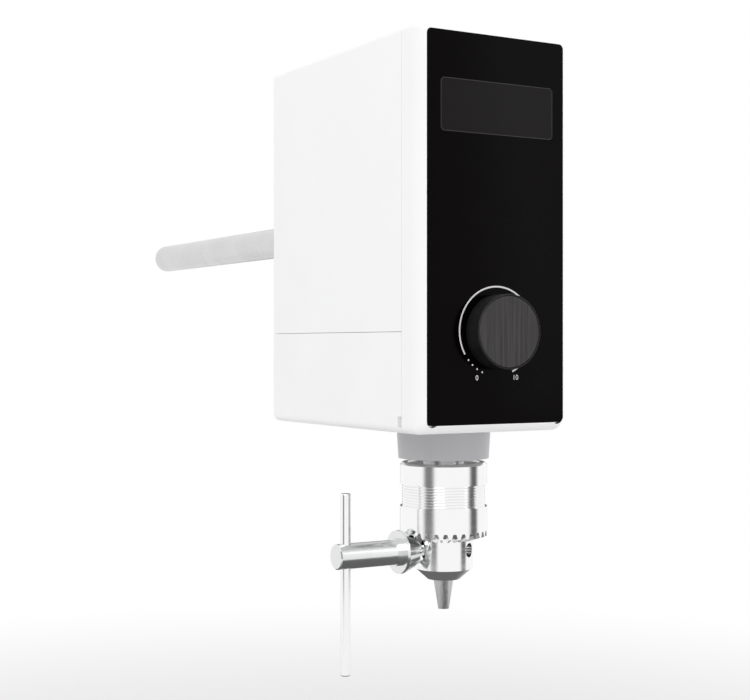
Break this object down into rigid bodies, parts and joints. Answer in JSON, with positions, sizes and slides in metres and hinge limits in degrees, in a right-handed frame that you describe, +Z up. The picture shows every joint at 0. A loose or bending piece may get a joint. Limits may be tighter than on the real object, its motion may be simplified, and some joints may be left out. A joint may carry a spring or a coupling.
{
  "type": "overhead stirrer",
  "caption": "Overhead laboratory stirrer: geared motor in a box housing on a horizontal support rod, with a dial, a display and a keyed chuck holding its key.",
  "frame": {"origin": "on the support rod's axis, in the plane where the rod leaves its socket at the back", "axes": "+Y along the support rod away from the housing, +Z up, so the front panel faces -Y and +X is right seen from the front"},
  "size_m": [0.1021, 0.425, 0.3042],
  "materials": {
    "white_plastic": "satin moulded",
    "black_panel": "gloss",
    "smoked_window": "gloss",
    "black_plastic": "matt",
    "circuit_board": "lacquered",
    "screw_steel": "zinc plated",
    "knob_plastic": "satin",
    "brushed_dark": "brushed, dark anodised",
    "cast_aluminium": "machined",
    "satin_steel": "satin",
    "grey_collar": "satin grey",
    "seal_rubber": "matt",
    "bearing_steel": "ground",
    "gear_steel": "machined",
    "motor_paint": "satin",
    "copper_winding": "enamelled wire",
    "brass_contact": "plated",
    "polished_steel": "polished",
    "jaw_steel": "ground"
  },
  "bodies": {
    "housing": {"front_cover": "white_plastic", "upper_housing": "white_plastic", "lower_housing": "white_plastic", "front_panel": "black_panel", "display_window": "smoked_window", "display_module": "black_plastic", "display_board": "circuit_board", "display_screws": "screw_steel", "cover_screws": "screw_steel", "base_screws": "screw_steel", "rear_screws": "screw_steel", "socket_screws": "screw_steel", "collar_screws": "screw_steel", "motor_screws": "screw_steel", "board_screws": "screw_steel", "potentiometer": "black_plastic", "pot_nut": "screw_steel", "chassis_frame": "cast_aluminium", "rod_socket": "cast_aluminium", "rod_washer": "screw_steel", "rod_nut": "screw_steel", "support_rod": "satin_steel", "bearing_collar": "grey_collar", "shaft_seal": "seal_rubber", "lower_bearing_outer": "bearing_steel", "upper_bearing_outer": "bearing_steel", "bearing_balls": "bearing_steel", "motor_case": "motor_paint", "motor_bearings": "bearing_steel", "motor_stator": "gear_steel", "stator_windings": "copper_winding", "control_board": "circuit_board", "heat_sink": "cast_aluminium", "capacitors": "black_plastic", "board_connectors": "black_plastic", "power_jack": "black_plastic", "jack_pin": "brass_contact", "jack_nut": "screw_steel", "switch_frame": "black_plastic"},
    "spindle": {"spindle": "satin_steel", "driven_gear": "gear_steel", "spacer_tube": "gear_steel", "circlip": "gear_steel", "lower_bearing_inner": "bearing_steel", "upper_bearing_inner": "bearing_steel", "chuck_body": "polished_steel"},
    "rotor": {"motor_shaft": "gear_steel", "motor_rotor": "gear_steel", "motor_pinion": "gear_steel"},
    "sleeve": {"chuck_sleeve": "polished_steel", "chuck_nut": "gear_steel"},
    "jaw_1": {"jaw_1": "jaw_steel"},
    "jaw_2": {"jaw_2": "jaw_steel"},
    "jaw_3": {"jaw_3": "jaw_steel"},
    "key": {"chuck_key": "polished_steel"},
    "key_bar": {"key_bar": "polished_steel"},
    "knob": {"knob_body": "knob_plastic", "knob_cap": "brushed_dark", "pot_shaft": "screw_steel"},
    "rocker": {"switch_rocker": "black_plastic"}
  },
  "joints": [
    {"name": "spindle_spin", "type": "hinge", "parent": "housing", "child": "spindle", "pos_m": [0, -0.1198, -0.1196], "axis": [0, 0, 1], "continuous": true},
    {"name": "rotor_spin", "type": "hinge", "parent": "housing", "child": "rotor", "pos_m": [0, -0.0838, -0.03], "axis": [0, 0, 1], "continuous": true},
    {"name": "sleeve_turn", "type": "hinge", "parent": "spindle", "child": "sleeve", "pos_m": [0, -0.1198, -0.1396], "axis": [0, 0, -1], "range_deg": [0, 3950.93]},
    {"name": "key_turn", "type": "hinge", "parent": "spindle", "child": "key", "pos_m": [-0.02, -0.1198, -0.1625], "axis": [-1, 0, 0], "range_deg": [-5, 10780.27]},
    {"name": "key_bar_slide", "type": "slide", "parent": "key", "child": "key_bar", "axis": [0, 0, 1], "range_m": [-0.0215, 0.0475]},
    {"name": "knob_turn", "type": "hinge", "parent": "housing", "child": "knob", "pos_m": [0, -0.1658, -0.0559], "axis": [0, 1, 0], "range_deg": [0, 300]},
    {"name": "switch_rock", "type": "hinge", "parent": "housing", "child": "rocker", "pos_m": [-0.018, -0.011, 0.048], "axis": [1, 0, 0], "range_deg": [-20, 0]},
    {"name": "jaw_1_slide", "type": "slide", "parent": "spindle", "child": "jaw_1", "axis": [0.1822, 0, 0.9833], "range_m": [-0.0001, 0.02754]},
    {"name": "jaw_2_slide", "type": "slide", "parent": "spindle", "child": "jaw_2", "axis": [-0.0911, 0.1578, 0.9833], "range_m": [-0.0001, 0.02754]},
    {"name": "jaw_3_slide", "type": "slide", "parent": "spindle", "child": "jaw_3", "axis": [-0.0911, -0.1578, 0.9833], "range_m": [-0.0001, 0.02754]}
  ],
  "couplings": [
    {"joint": "rotor_spin", "follows": "spindle_spin", "ratio": -3.5},
    {"joint": "key_turn", "follows": "sleeve_turn", "ratio": 2.7273},
    {"joint": "jaw_1_slide", "follows": "sleeve_turn", "m_per_rad": 0.00039789},
    {"joint": "jaw_2_slide", "follows": "sleeve_turn", "m_per_rad": 0.00039789},
    {"joint": "jaw_3_slide", "follows": "sleeve_turn", "m_per_rad": 0.00039789}
  ]
}
